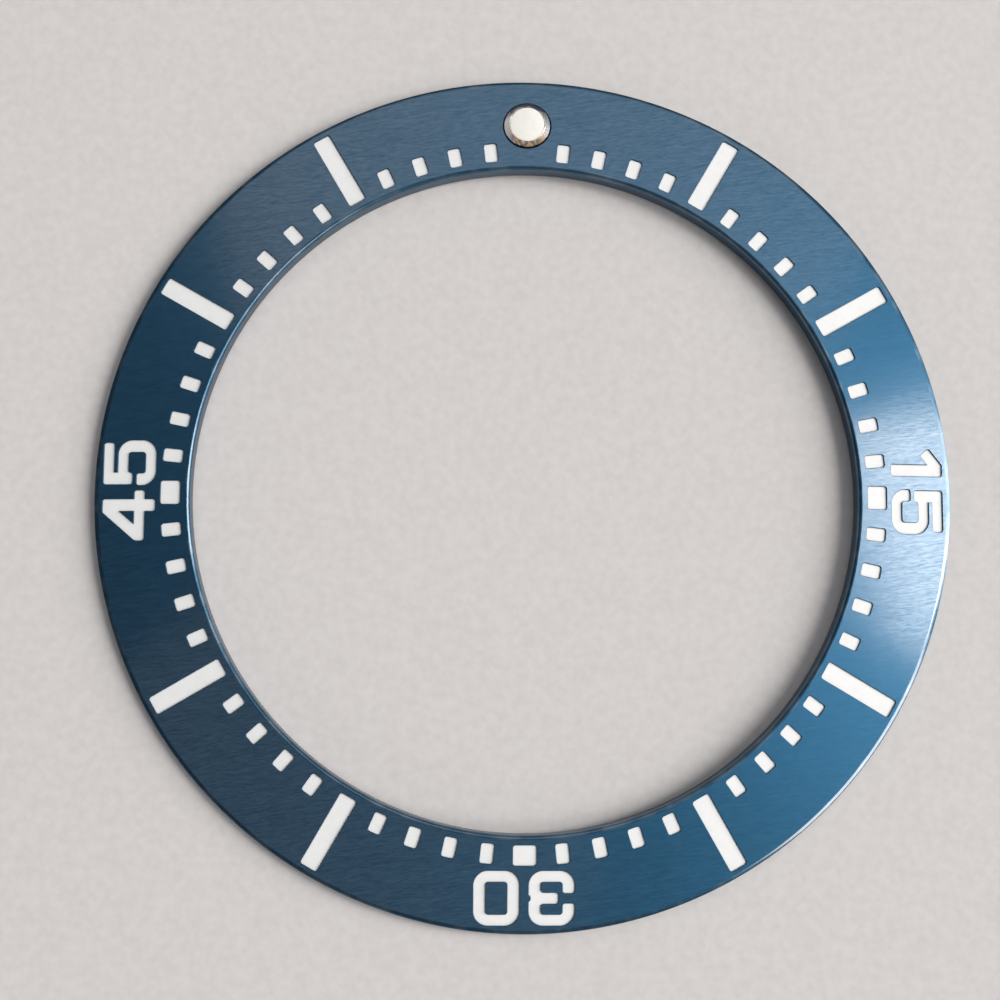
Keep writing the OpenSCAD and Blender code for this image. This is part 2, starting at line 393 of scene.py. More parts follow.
@dataclass
class Surface:
    """A closed surface gathered patch by patch.

    Attributes:
        name: name of the piece.
        cone: the conical face that heights can count from.
        points: corner points of every patch.
        normals: their normals.
        triangles: indices into the patch's points.
        finishes: index of each patch's finish.
    """

    name: str
    cone: Cone
    points: list[np.ndarray] = field(default_factory=list)
    normals: list[np.ndarray] = field(default_factory=list)
    triangles: list[np.ndarray] = field(default_factory=list)
    finishes: list[int] = field(default_factory=list)

    def add(self, points: np.ndarray, normals: np.ndarray, triangles: np.ndarray, finish: int) -> None:
        """Adds a patch and turns its triangles to the side of their normals.

        Args:
            points: corner points.
            normals: their normals.
            triangles: three indices for each triangle.
            finish: index of the patch's finish.
        """
        a, b, c = (points[triangles[:, k]] for k in range(3))
        across = np.cross(b - a, c - a)
        wrong = (across * normals[triangles].sum(1)).sum(1) < 0
        triangles = np.where(wrong[:, None], triangles[:, ::-1], triangles)
        self.points.append(points)
        self.normals.append(normals)
        self.triangles.append(triangles[np.linalg.norm(across, axis=1) > NO_AREA])
        self.finishes.append(finish)

    def sweep(self, outline: Outline, section: Section, finish: int = 0) -> None:
        """Adds the surface that a profile leaves on its way round an outline.

        The point of row k at outline point i is p(i) + offset(k) * miter(i) in plan, at height(k),
        plus the cone's height there where the row counts from it. The normal is outward part *
        edge normal + upward part * (up + the cone's lean).

        Args:
            outline: the outlines in plan.
            section: the profile.
            finish: index of the finish.
        """
        plan = outline.points + section.offsets[:, None, None] * outline.miters
        height = section.heights[:, None] + section.on_cone[:, None] * self.cone.height(plan)
        place = np.concatenate([plan, height[..., None]], -1)
        lean = self.cone.lean(plan) * section.on_cone[:, None, None]
        rows, count = height.shape
        out, up = section.normals[:, 0, None, None], section.normals[:, 1, None, None]
        sides = []
        for edge, at in ((outline.starts, np.arange(count)), (outline.ends, outline.following)):
            flat = out * edge + up * lean[:, at]
            normal = unit(np.concatenate([flat, np.broadcast_to(up, (rows, count, 1))], -1))
            sides.append((place[:, at], normal))
        points = np.stack([s[0] for s in sides], 2).reshape(-1, 3)
        normals = np.stack([s[1] for s in sides], 2).reshape(-1, 3)
        start = (np.arange(rows - 1)[:, None] * count + np.arange(count)).ravel() * 2
        a, b, c, d = start, start + 1, start + 1 + 2 * count, start + 2 * count
        triangles = np.concatenate([np.stack([a, b, c], 1), np.stack([a, c, d], 1)])
        self.add(points, normals, triangles, finish)

    def level(
        self, plan: np.ndarray, triangles: np.ndarray, height: float, facing: float, on_cone: bool, finish: int = 0
    ) -> None:
        """Adds a patch that lies level or follows the conical face.

        Args:
            plan: plan points.
            triangles: three indices for each triangle.
            height: height above the back, or above the conical face.
            facing: 1 for a patch that faces upwards, -1 for one that faces downwards.
            on_cone: whether the patch follows the conical face.
            finish: index of the finish.
        """
        z = height + on_cone * self.cone.height(plan)
        normals = np.concatenate([self.cone.lean(plan) * on_cone, np.ones((len(plan), 1))], 1)
        self.add(np.concatenate([plan, z[:, None]], 1), unit(normals) * facing, triangles, finish)

    def make(self, materials: Sequence[bpy.types.Material]) -> bpy.types.Object:
        """Welds the patches into one closed mesh and puts it into the scene.

        Points that round to the same place become one, each corner keeps its patch's normal, and
        triangles without area are left out.

        Args:
            materials: the finishes in the order of their indices.

        Returns:
            The new object, at the origin, with its place in its mesh in metres.
        """
        shifts = np.cumsum([0] + [len(p) for p in self.points])
        corners = np.concatenate([t + s for t, s in zip(self.triangles, shifts)])
        finish = np.repeat(self.finishes, [len(t) for t in self.triangles])
        points, normals = np.concatenate(self.points), np.concatenate(self.normals)
        keys = np.round(points / WELD).astype(np.int64)
        _, first, place = np.unique(keys, axis=0, return_index=True, return_inverse=True)
        faces = place.reshape(-1)[corners]
        whole = (np.diff(np.sort(faces, axis=1), axis=1) > 0).all(1)
        faces, corners, finish = faces[whole], corners[whole], finish[whole]
        used, faces = np.unique(faces, return_inverse=True)
        mesh = bpy.data.meshes.new(self.name)
        mesh.from_pydata((points[first[used]] * MM).tolist(), [], faces.reshape(-1, 3).tolist())
        mesh.polygons.foreach_set("material_index", finish.astype(np.int32))
        mesh.polygons.foreach_set("use_smooth", np.ones(len(finish), bool))
        mesh.update()
        mesh.normals_split_custom_set(normals[corners.ravel()].tolist())
        for material in materials:
            mesh.materials.append(material)
        piece = bpy.data.objects.new(self.name, mesh)
        bpy.context.scene.collection.objects.link(piece)
        return piece


def report(piece: bpy.types.Object, nodes: Sequence[str]) -> bpy.types.Object:
    """Hands a piece to the frame: it rides on the root body and stands for its nodes.

    Args:
        piece: the new piece.
        nodes: names of the nodes that it replaces.

    Returns:
        The same piece.
    """
    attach(piece, BODY)
    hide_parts(*nodes)
    log.info("%s: %d triangles, stands for %s", piece.name, len(piece.data.polygons), ", ".join(nodes))
    return piece


# Finishes


class Link:
    """A socket of a shader graph that takes part in Python expressions."""

    def __init__(self, graph: Graph, socket: bpy.types.NodeSocket) -> None:
        """Wraps an output socket of a graph."""
        self.graph = graph
        self.socket = socket

    def _join(self, operation: str, first: Operand, second: Operand) -> Link:
        """Adds the node that joins two operands: Math for values, Vector Math for vectors and Mix
        for colours.

        Args:
            operation: name of the operation.
            first: left operand.
            second: right operand.

        Returns:
            The node's result.
        """
        if self.socket.type == "RGBA":
            blend = {"data_type": "RGBA", "blend_type": operation}
            return self.graph.add("ShaderNodeMix", blend, {0: 1.0, 6: first, 7: second}, 2)
        kind = "ShaderNodeMath" if self.socket.type == "VALUE" else "ShaderNodeVectorMath"
        return self.graph.add(kind, {"operation": operation}, {0: first, 1: second})

    def __add__(self, other: Operand) -> Link:
        """This plus other."""
        return self._join("ADD", self, other)

    def __radd__(self, other: Operand) -> Link:
        """Other plus this."""
        return self._join("ADD", other, self)

    def __sub__(self, other: Operand) -> Link:
        """This minus other."""
        return self._join("SUBTRACT", self, other)

    def __rsub__(self, other: Operand) -> Link:
        """Other minus this."""
        return self._join("SUBTRACT", other, self)

    def __mul__(self, other: Operand) -> Link:
        """This times other."""
        return self._join("MULTIPLY", self, other)

    def __rmul__(self, other: Operand) -> Link:
        """Other times this."""
        return self._join("MULTIPLY", other, self)


Operand = Link | float | Sequence[float]


class Graph:
    """The shader nodes of one material; place holds its object coordinates in millimetres."""

    def __init__(self, name: str) -> None:
        """Starts a material.

        Args:
            name: name of the material.
        """
        self.material = bpy.data.materials.new(name)
        self.material.use_nodes = True
        self.nodes = self.material.node_tree.nodes
        self.links = self.material.node_tree.links
        self.nodes.clear()
        metres = self.add("ShaderNodeTexCoord", {}, {}, 3)
        self.place = self.add("ShaderNodeVectorMath", {"operation": "SCALE"}, {0: metres, "Scale": 1 / MM})

    def add(self, kind: str, settings: dict[str, object], inputs: dict[int | str, Operand], output: int = 0) -> Link:
        """Adds any node.

        Args:
            kind: type of the node.
            settings: properties of the node, set first.
            inputs: number, colour or link for each named or numbered input socket.
            output: number of the output socket that is wanted.

        Returns:
            That output socket.
        """
        node = self.nodes.new(kind)
        for name, value in settings.items():
            setattr(node, name, value)
        for key, value in inputs.items():
            if isinstance(value, Link):
                self.links.new(value.socket, node.inputs[key])
            else:
                node.inputs[key].default_value = value
        return Link(self, node.outputs[output] if len(node.outputs) else None)

    def noise(self, place: Link, scale: float | Triple, detail: float = 2.0, turn: float = 0.0) -> Link:
        """Noise about 0.5, the same in all directions or with its own scale along each axis.

        Args:
            place: position in millimetres.
            scale: features for each millimetre, along x, y and z where there are three numbers.
            detail: octaves of finer noise.
            turn: angle in degrees by which the pattern is turned about z.

        Returns:
            The noise.
        """
        turned = self.add(
            "ShaderNodeMapping", {"vector_type": "TEXTURE"}, {"Vector": place, "Rotation": (0, 0, math.radians(turn))}
        )
        scales = tuple(np.broadcast_to(scale, 3).tolist())
        return self.add("ShaderNodeTexNoise", {}, {"Vector": turned * scales, "Scale": 1.0, "Detail": detail})

    def turning(self, place: Link, scale: float) -> Link:
        """Noise over the distance from the z axis and the height, which gives lines round that axis.

        Args:
            place: position in millimetres.
            scale: lines for each millimetre.

        Returns:
            The noise.
        """
        radius = self.add("ShaderNodeVectorMath", {"operation": "LENGTH"}, {0: place * (1.0, 1.0, 0.0)}, 1)
        height = self.add("ShaderNodeSeparateXYZ", {}, {0: place}, 2)
        around = self.add("ShaderNodeCombineXYZ", {}, {0: radius, 1: height})
        return self.noise(around, (scale, scale, 1.0))

    def ramp(self, value: Link, low: float, high: float) -> Link:
        """Value brought from the range low to high onto 0 to 1, and held there."""
        return self.add("ShaderNodeMapRange", {"clamp": True}, {0: value, 1: low, 2: high, 3: 0.0, 4: 1.0})

    def blend(self, factor: Operand, first: Operand, second: Operand) -> Link:
        """Colour between two colours: first where the factor is 0 and second where it is 1."""
        return self.add("ShaderNodeMix", {"data_type": "RGBA"}, {0: factor, 6: first, 7: second}, 2)

    def bump(self, height: Link, depth: float) -> Link:
        """Normal of a surface whose height varies by the given depth in millimetres."""
        return self.add("ShaderNodeBump", {}, {"Strength": 1.0, "Distance": depth * MM, "Height": height})

    def shade(self, inputs: dict[int | str, Operand]) -> bpy.types.Material:
        """Closes the graph with a Principled shader.

        Args:
            inputs: number, colour or link for each input of the shader.

        Returns:
            The material.
        """
        shader = self.add("ShaderNodeBsdfPrincipled", {}, inputs)
        self.add("ShaderNodeOutputMaterial", {}, {"Surface": shader})
        return self.material


@dataclass(frozen=True)
class BrushedAnodising:
    """Blue anodised aluminium, brushed in straight lines across the whole ring.

    Attributes:
        deep: colour in the valleys of the brushing.
        bright: colour on its crests.
        turn: angle of the brushing against +X, in degrees.
        roughness: roughness of the metal under the oxide.
        coat: share of the clear oxide's own reflection.
        coat_roughness: its roughness.
        coat_ior: its index of refraction.
        bump: height of the brushing.
    """

    deep: Rgba = (0.020, 0.087, 0.161, 1.0)
    bright: Rgba = (0.028, 0.118, 0.217, 1.0)
    turn: float = 9.0
    roughness: float = 0.46
    coat: float = 0.80
    coat_roughness: float = 0.13
    coat_ior: float = 1.68
    bump: float = 0.0040

    def material(self) -> bpy.types.Material:
        """Builds the material: streaks of three widths, stretched along the brushing, vary colour,
        gloss and height, and a broad mottling varies the colour.

        Returns:
            The material.
        """
        graph = Graph("brushed_blue_anodising")
        place = graph.place
        sway = graph.add("ShaderNodeCombineXYZ", {}, {1: graph.noise(place, 0.9, 1.0) * 0.30})
        fine = graph.noise(place + sway, (1.3, 17.0, 1.0), 4.0, self.turn)
        broad = graph.noise(place, (0.16, 4.0, 1.0), 2.0, self.turn)
        hair = graph.noise(place, (3.2, 14.0, 1.0), 3.0, self.turn)
        cloud = graph.noise(place, 0.30, 1.0)
        streaks = graph.ramp(fine * 0.8 + broad * 0.2, 0.38, 0.62)
        grain = graph.ramp(hair, 0.32, 0.68)
        tint = streaks * 0.45 + grain * 0.35 + cloud * 0.20
        return graph.shade({
            "Base Color": graph.blend(tint, self.deep, self.bright),
            "Metallic": 1.0,
            "Roughness": self.roughness + (streaks - 0.5) * 0.05,
            "Coat Weight": self.coat + (streaks - 0.5) * 0.32 + (grain - 0.5) * 0.40,
            "Coat Roughness": self.coat_roughness,
            "Coat IOR": self.coat_ior,
            "Normal": graph.bump(fine, self.bump),
        })


@dataclass(frozen=True)
class TurnedAnodising:
    """The anodising on turned walls, bevels and engraved pockets, with fine lines round the axis, in a blue darker
    than the face's as painted shade.

    Attributes:
        name: name of the finish.
        coat: share of the clear oxide's own reflection.
        roughness: roughness of the metal.
        deep: colour in the lines.
        bright: colour between them.
        coat_roughness: roughness of the oxide.
        coat_ior: its index of refraction.
        bump: height of the lines.
    """

    name: str
    coat: float
    roughness: float
    # deep and bright are darker than the face's blue: painted shade on the walls, the back and the pockets
    deep: Rgba = (0.016, 0.060, 0.110, 1.0)
    bright: Rgba = (0.024, 0.090, 0.160, 1.0)
    coat_roughness: float = 0.06
    coat_ior: float = 1.5
    bump: float = 0.0010

    def material(self) -> bpy.types.Material:
        """Builds the material: lines that run round the ring and soft patches vary its colour.

        Returns:
            The material.
        """
        graph = Graph(self.name)
        lines = graph.turning(graph.place, 24.0)
        patches = graph.noise(graph.place, 0.8)
        tint = graph.ramp(lines * 0.6 + patches * 0.4, 0.35, 0.65)
        return graph.shade({
            "Base Color": graph.blend(tint, self.deep, self.bright),
            "Metallic": 1.0,
            "Roughness": self.roughness + (patches - 0.5) * 0.08,
            "Coat Weight": self.coat,
            "Coat Roughness": self.coat_roughness,
            "Coat IOR": self.coat_ior,
            "Normal": graph.bump(lines, self.bump),
        })


@dataclass(frozen=True)
class RubbedEdge:
    """The outermost edges, where the anodising is thin and rubbed almost bright.

    Attributes:
        anodised: colour where the anodising has stayed.
        bare: colour where it is rubbed thin.
        roughness: roughness of the metal.
        rubbed_side: direction from the axis in which the outer edge is rubbed smoothest.
        coat: share of the smooth skin's reflection on the other sides.
        gain: what the rubbed side adds to it.
        coat_roughness: roughness of that skin.
        coat_ior: its index of refraction.
        bump: height of the nicks.
    """

    anodised: Rgba = (0.024, 0.086, 0.150, 1.0)
    bare: Rgba = (0.110, 0.175, 0.240, 1.0)
    roughness: float = 0.40
    rubbed_side: Triple = (0.84, -0.54, 0.0)
    coat: float = 0.30
    gain: float = 0.65
    coat_roughness: float = 0.14
    coat_ior: float = 2.3
    bump: float = 0.0008

    def material(self) -> bpy.types.Material:
        """Builds the material: noise breaks the rubbed line up and varies its gloss, which grows with
        the distance from the axis towards the rubbed side.

        Returns:
            The material.
        """
        graph = Graph("rubbed_anodised_edge")
        towards = {0: graph.place, 1: self.rubbed_side}
        reach = graph.add("ShaderNodeVectorMath", {"operation": "DOT_PRODUCT"}, towards, 1)
        worn = graph.ramp(graph.noise(graph.place, 0.9), 0.45, 0.70)
        nicks = graph.noise(graph.place, 8.0)
        return graph.shade({
            "Base Color": graph.blend(worn, self.anodised, self.bare),
            "Metallic": 1.0,
            "Roughness": self.roughness + (nicks - 0.5) * 0.10,
            "Coat Weight": self.coat + graph.ramp(reach, 16.6, 18.6) * self.gain - worn * 0.10,
            "Coat Roughness": self.coat_roughness,
            "Coat IOR": self.coat_ior,
            "Normal": graph.bump(nicks, self.bump),
        })


@dataclass(frozen=True)
class WhiteLacquer:
    """Cured white filler in the engraving, level and slightly satin.

    Attributes:
        clean: colour of most of the fill.
        worn: colour of its faintly darker patches.
        roughness: roughness of the surface.
        ior: index of refraction.
        gloss: level of its reflection.
        bump: height of its ripple.
    """

    clean: Rgba = (0.900, 0.900, 0.893, 1.0)
    worn: Rgba = (0.865, 0.865, 0.855, 1.0)
    roughness: float = 0.50
    ior: float = 1.48
    gloss: float = 0.35
    bump: float = 0.0025

    def material(self) -> bpy.types.Material:
        """Builds the material: soft patches vary colour and roughness, and a fine ripple the height.

        Returns:
            The material.
        """
        graph = Graph("white_engraving_lacquer")
        patches = graph.noise(graph.place, 2.2, 3.0)
        ripple = graph.noise(graph.place, 14.0)
        return graph.shade({
            "Base Color": graph.blend(graph.ramp(patches, 0.45, 0.75), self.clean, self.worn),
            "Roughness": self.roughness + (patches - 0.5) * 0.12,
            "IOR": self.ior,
            "Specular IOR Level": self.gloss,
            "Normal": graph.bump(ripple, self.bump),
        })


@dataclass(frozen=True)
class PolishedSteel:
    """Turned and polished steel of the pearl's cup, darkened towards the rim of the ring as painted
    shade, and with traces of tan towards its bore.

    Attributes:
        axis_y: distance of the cup's axis from the ring's.
        clean: colour of the bare metal.
        tan: colour of the thin stain.
        brown: colour of the thick stain.
        painted_shade: dark colour painted as shade on the side towards the rim.
        roughness: roughness of the polish.
        bump: height of the turning lines.
    """

    axis_y: float
    clean: Rgba = (0.74, 0.72, 0.70, 1.0)
    tan: Rgba = (0.68, 0.47, 0.28, 1.0)
    brown: Rgba = (0.24, 0.17, 0.12, 1.0)
    painted_shade: Rgba = (0.15, 0.15, 0.17, 1.0)
    roughness: float = 0.12
    bump: float = 0.0012

    def material(self) -> bpy.types.Material:
        """Builds the material: fine turning lines, stained by patches of noise, and painted shade on the side towards
        the rim.

        Returns:
            The material.
        """
        graph = Graph("polished_cup_steel")
        place = graph.place - (0.0, self.axis_y, 0.0)
        north = graph.add("ShaderNodeSeparateXYZ", {}, {0: place}, 1)
        lines = graph.turning(place, 40.0)
        stains = graph.noise(place, 3.2)
        stained = graph.ramp(0.0 - north + (stains - 0.5) * 1.6, 0.45, 0.80)
        # painted shade: the side towards the rim is darkened and roughened by position
        painted_shade_mask = graph.ramp(north + (stains - 0.5) * 1.2, 0.30, 0.80)
        stain = graph.blend(graph.ramp(stains, 0.46, 0.56), self.brown, self.tan)
        return graph.shade({
            "Base Color": graph.blend(painted_shade_mask, graph.blend(stained, self.clean, stain), self.painted_shade),
            "Metallic": 1.0,
            "Roughness": self.roughness + stained * 0.10 + painted_shade_mask * 0.10,
            "Normal": graph.bump(lines, self.bump),
        })


@dataclass(frozen=True)
class LumeCompound:
    """Moulded luminous compound of the pearl: near white, faintly cream, matt and finely grained.

    Attributes:
        body: colour of most of the pellet.
        grain: colour of its grains.
        roughness: roughness of the surface.
        ior: index of refraction.
        bump: height of the grains.
    """

    body: Rgba = (0.925, 0.915, 0.850, 1.0)
    grain: Rgba = (0.860, 0.845, 0.760, 1.0)
    roughness: float = 0.55
    ior: float = 1.5
    bump: float = 0.004

    def material(self) -> bpy.types.Material:
        """Builds the material: fine grains vary colour, roughness and height.

        Returns:
            The material.
        """
        graph = Graph("luminous_compound")
        grains = graph.noise(graph.place, 18.0, 3.0)
        soft = graph.noise(graph.place, 2.5)
        return graph.shade({
            "Base Color": graph.blend(graph.ramp(grains * 0.6 + soft * 0.4, 0.45, 0.7), self.body, self.grain),
            "Roughness": self.roughness + (grains - 0.5) * 0.2,
            "IOR": self.ior,
            "Normal": graph.bump(grains, self.bump),
        })


@dataclass(frozen=True)
class StudioPaper:
    """Plain warm grey paper of the floor.

    Attributes:
        light: its colour.
        shade: colour of its faint fibres.
        roughness: roughness of the surface.
        gloss: level of its reflection.
    """

    light: Rgba = (0.695, 0.665, 0.650, 1.0)
    shade: Rgba = (0.640, 0.610, 0.596, 1.0)
    roughness: float = 0.9
    gloss: float = 0.2

    def material(self) -> bpy.types.Material:
        """Builds the material: a faint fine mottling of the colour.

        Returns:
            The material.
        """
        graph = Graph("studio_paper")
        fibres = graph.noise(graph.place, 2.5, 3.0)
        return graph.shade({
            "Base Color": graph.blend(graph.ramp(fibres, 0.3, 0.7), self.shade, self.light),
            "Roughness": self.roughness,
            "Specular IOR Level": self.gloss,
        })


# Pieces


@dataclass(frozen=True)
class EngravedFills:
    """The white fills of the engraving, one piece for each fill node.

    Attributes:
        cone: the conical face.
        nodes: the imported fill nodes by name.
        depth: depth of the pockets below the face.
        drop: depth of the fills' tops below the face.
        sink: depth by which the lacquer has shrunk at the pocket's wall.
        reach: distance from the wall over which it sinks.
        inset: width of the band that carries that fall.
        edge_step: greatest length of an outline's edges.
        rows: number of rows in the band.
        crowding: power by which the rows crowd towards the wall.
    """

    cone: Cone
    nodes: dict[str, bpy.types.Object]
    depth: float = 0.25
    drop: float = 0.08
    sink: float = 0.012
    reach: float = 0.012
    inset: float = 0.07
    edge_step: float = 0.30
    rows: int = 8
    crowding: float = 1.6

    def outline(self, names: Sequence[str]) -> Outline:
        """Outlines of the named fills, all together."""
        loops = [refined(loop, self.edge_step) for name in names for loop in cad_outlines(self.nodes[name])]
        return Outline.around(loops)

    def border(self) -> Section:
        """Profile of the top's border: height = -drop - sink * exp(offset / reach), then the wall.

        Returns:
            The profile.
        """
        offsets = -self.inset * np.linspace(1, 0, self.rows) ** self.crowding
        fall = self.sink * np.exp(offsets / self.reach)
        fall[0] = 0.0
        top = Section.curve(offsets, -fall - self.drop, -fall / self.reach, on_cone=True)
        low = -self.sink - self.drop
        return top + Section.through([(0.0, low, 0.0), (0.0, -self.depth, 0.0)], on_cone=True)

    def build(self, finish: bpy.types.Material) -> list[bpy.types.Object]:
        """Makes and dresses every fill.

        Args:
            finish: the white lacquer.

        Returns:
            The pieces.
        """
        pieces = []
        for name in sorted(self.nodes):
            outline = self.outline([name])
            surface = Surface("white_" + name, self.cone)
            surface.level(*filled(outline.grown(-self.inset), outline.following), -self.drop, 1, True)
            surface.sweep(outline, self.border())
            surface.level(*filled(outline.grown(0.0), outline.following), -self.depth, -1, True)
            pieces.append(report(surface.make([finish]), [name]))
        return pieces


@dataclass(frozen=True)
class EngravedRing:
    """The ring: a turned blank with a brushed conical face, engraved pockets and the pearl's hole.

    Attributes:
        cone: the conical face.
        bore_r: radius of the bore.
        engraving: outlines of all pockets.
        pearl_y: distance of the pearl's hole from the axis.
        pocket_depth: depth of the pockets below the face.
        rim_break: width of the worn break between the face and the outer wall.
        rim_tilt: slope of that break, in degrees.
        rim_roll: radius by which the face rolls into it.
        rim_lead: width of the strip of face before the roll.
        bore_edge: rounding between the face and the bore.
        back_bevel: bevel along both edges of the back.
        edge_r: rounding of the sharper turned edges.
        pocket_edge: rounding of the pockets' edges.
        hole_edge: rounding of the edge of the pearl's hole.
        hole_r: radius of the pearl's hole.
        stem_r: radius of the hole for the cup's stem.
        seat_h: height of the cup's seat.
        hole_step: height of the hole's wall that belongs to the seat, and of the one that belongs to
            the face.
        turns: number of facets round the ring.
        hole_turns: number of facets round the pearl's hole.
        even_step: distance between the circles of points that even out the face.
        even_turns: number of points on each.
        even_gaps: least distances of those circles from the bore and from the rim.
    """

    cone: Cone
    bore_r: float
    engraving: Outline
    pearl_y: float
    pocket_depth: float = 0.25
    rim_break: float = 0.10
    rim_tilt: float = 28.0
    rim_roll: float = 0.49
    rim_lead: float = 0.005
    bore_edge: float = 0.17
    back_bevel: float = 0.05
    edge_r: float = 0.03
    pocket_edge: float = 0.020
    hole_edge: float = 0.02
    hole_r: float = 1.12
    stem_r: float = 0.66
    seat_h: float = 0.25
    hole_step: float = 0.1
    turns: int = 720
    hole_turns: int = 144
    even_step: float = 0.4
    even_turns: int = 240
    even_gaps: tuple[float, float] = (0.3, 0.25)

    def foot(self, radius: float, side: int) -> CornerList:
        """Corners where a wall meets the back: the bevel and a strip of the back.

        Args:
            radius: radius of the wall.
            side: 1 where the back lies outwards of the wall, -1 where it lies inwards.

        Returns:
            The corners from the wall to the back.
        """
        bevel, edge = self.back_bevel, self.edge_r
        inner = radius + side * bevel
        return [(radius, bevel, edge), (inner, 0.0, edge), (inner + side * 2 * edge, 0.0, 0.0)]

    def rim_edge(self) -> Section:
        """Profile from the face, rolled over the worn break, to the top of the outer wall.

        Returns:
            The profile.
        """
        r, edge = self.cone.rim_r, self.edge_r
        corner = r - self.rim_break
        setback = self.rim_roll * math.tan(math.radians(self.rim_tilt - self.cone.slope) / 2)
        start = corner - setback - self.rim_lead
        top = self.cone.at(corner) - self.rim_break * math.tan(math.radians(self.rim_tilt))
        return Section.through([
            (start, self.cone.at(start), 0.0),
            (corner, self.cone.at(corner), self.rim_roll),
            (r, top, 0.7 * edge),
            (r, top - 2 * edge, 0.0),
        ], steps=6)

    def rim_wall(self) -> Section:
        """Profile down the outer wall, from the end of its edge, and round the back's edge."""
        r = self.cone.rim_r
        return Section.through([(r, float(self.rim_edge().heights[-1]), 0.0), *self.foot(r, -1)])

    def bore_wall(self) -> Section:
        """Profile from the back round its inner edge and up the bore."""
        r = self.bore_r
        return Section.through([*reversed(self.foot(r, 1)), (r, float(self.bore_top().heights[0]), 0.0)])

    def bore_top(self) -> Section:
        """Profile from the top of the bore, round its worn edge, onto the face.

        Returns:
            The profile.
        """
        r, edge = self.bore_r, self.bore_edge
        run = 1.25 * edge
        return Section.through([
            (r, self.cone.at(r) - run, 0.0),
            (r, self.cone.at(r), edge),
            (r + run, self.cone.at(r + run), 0.0),
        ], steps=8)

    def pocket_wall(self) -> Section:
        """Profile up the pocket's wall."""
        return Section.through([(0.0, -self.pocket_depth, 0.0), (0.0, -self.pocket_edge, 0.0)], on_cone=True)

    def pocket_round(self) -> Section:
        """Profile round the pocket's edge onto the face."""
        edge = self.pocket_edge
        return Section.through([(0.0, -edge, 0.0), (0.0, 0.0, edge), (edge, 0.0, 0.0)], on_cone=True, steps=6)

    def hole_profile(self) -> Section:
        """Profile of the stepped hole: up the stem's hole, over the seat, up and round onto the face.

        Returns:
            The profile.
        """
        stem, hole, seat = self.stem_r, self.hole_r, self.seat_h
        edge, short = self.hole_edge, self.hole_step
        low = [(stem, 0.0, 0.0), (stem, seat, 0.0), (hole, seat, 0.0), (hole, seat + short, 0.0)]
        top = [(hole, -short, 0.0), (hole, 0.0, edge), (hole + edge, 0.0, 0.0)]
        return Section.through(low) + Section.through(top, on_cone=True)

    def even_points(self) -> np.ndarray:
        """Points on circles about the axis that even out the face.

        Returns:
            The points in plan.
        """
        inner, outer = self.even_gaps
        radii = np.arange(self.bore_r + inner, self.cone.rim_r - outer, self.even_step)
        turn = np.linspace(0, 2 * math.pi, self.even_turns, endpoint=False)
        rings = radii[:, None, None] * np.stack([np.cos(turn), np.sin(turn)], 1)
        return rings.reshape(-1, 2)

    def build(self, finishes: Sequence[bpy.types.Material]) -> bpy.types.Object:
        """Makes and dresses the ring.

        Args:
            finishes: those of the face, of the walls and the back, of the rubbed edges at the rim and
                the bore, and of the pockets and the hole.

        Returns:
            The piece.
        """
        surface = Surface("engraved_ring", self.cone)
        axis = Outline.circle((0, 0), self.turns)
        pearl = Outline.circle((0, self.pearl_y), self.hole_turns)
        rim, rim_wall, bore_wall, bore = self.rim_edge(), self.rim_wall(), self.bore_wall(), self.bore_top()
        hole, edge = self.hole_profile(), self.pocket_round()
        surface.sweep(axis, rim, 2)
        surface.sweep(axis, rim_wall, 1)
        surface.sweep(axis, bore_wall, 1)
        surface.sweep(axis, bore, 2)
        surface.sweep(self.engraving, self.pocket_wall(), 3)
        surface.sweep(self.engraving, edge, 3)
        surface.sweep(pearl, hole, 3)
        pockets = self.engraving.grown(edge.offsets[-1])
        loops = [axis.grown(rim.offsets[0]), axis.grown(bore.offsets[-1]), pearl.grown(hole.offsets[-1]), pockets]
        links = [axis.following, axis.following, pearl.following, self.engraving.following]
        surface.level(*filled(*self.joined(loops, links), self.even_points()), 0.0, 1, True, 0)
        floors = filled(self.engraving.grown(0.0), self.engraving.following)
        surface.level(*floors, -self.pocket_depth, 1, True, 3)
        loops = [axis.grown(rim_wall.offsets[-1]), axis.grown(bore_wall.offsets[0]), pearl.grown(hole.offsets[0])]
        surface.level(*filled(*self.joined(loops, links[:3])), 0.0, -1, False, 1)
        return report(surface.make(finishes), ["insert_ring"])

    @staticmethod
    def joined(loops: Sequence[np.ndarray], links: Sequence[np.ndarray]) -> tuple[np.ndarray, np.ndarray]:
        """Several outlines as one set of points and following indices."""
        shifts = np.cumsum([0] + [len(loop) for loop in loops])
        return np.concatenate(loops), np.concatenate([link + s for link, s in zip(links, shifts)])


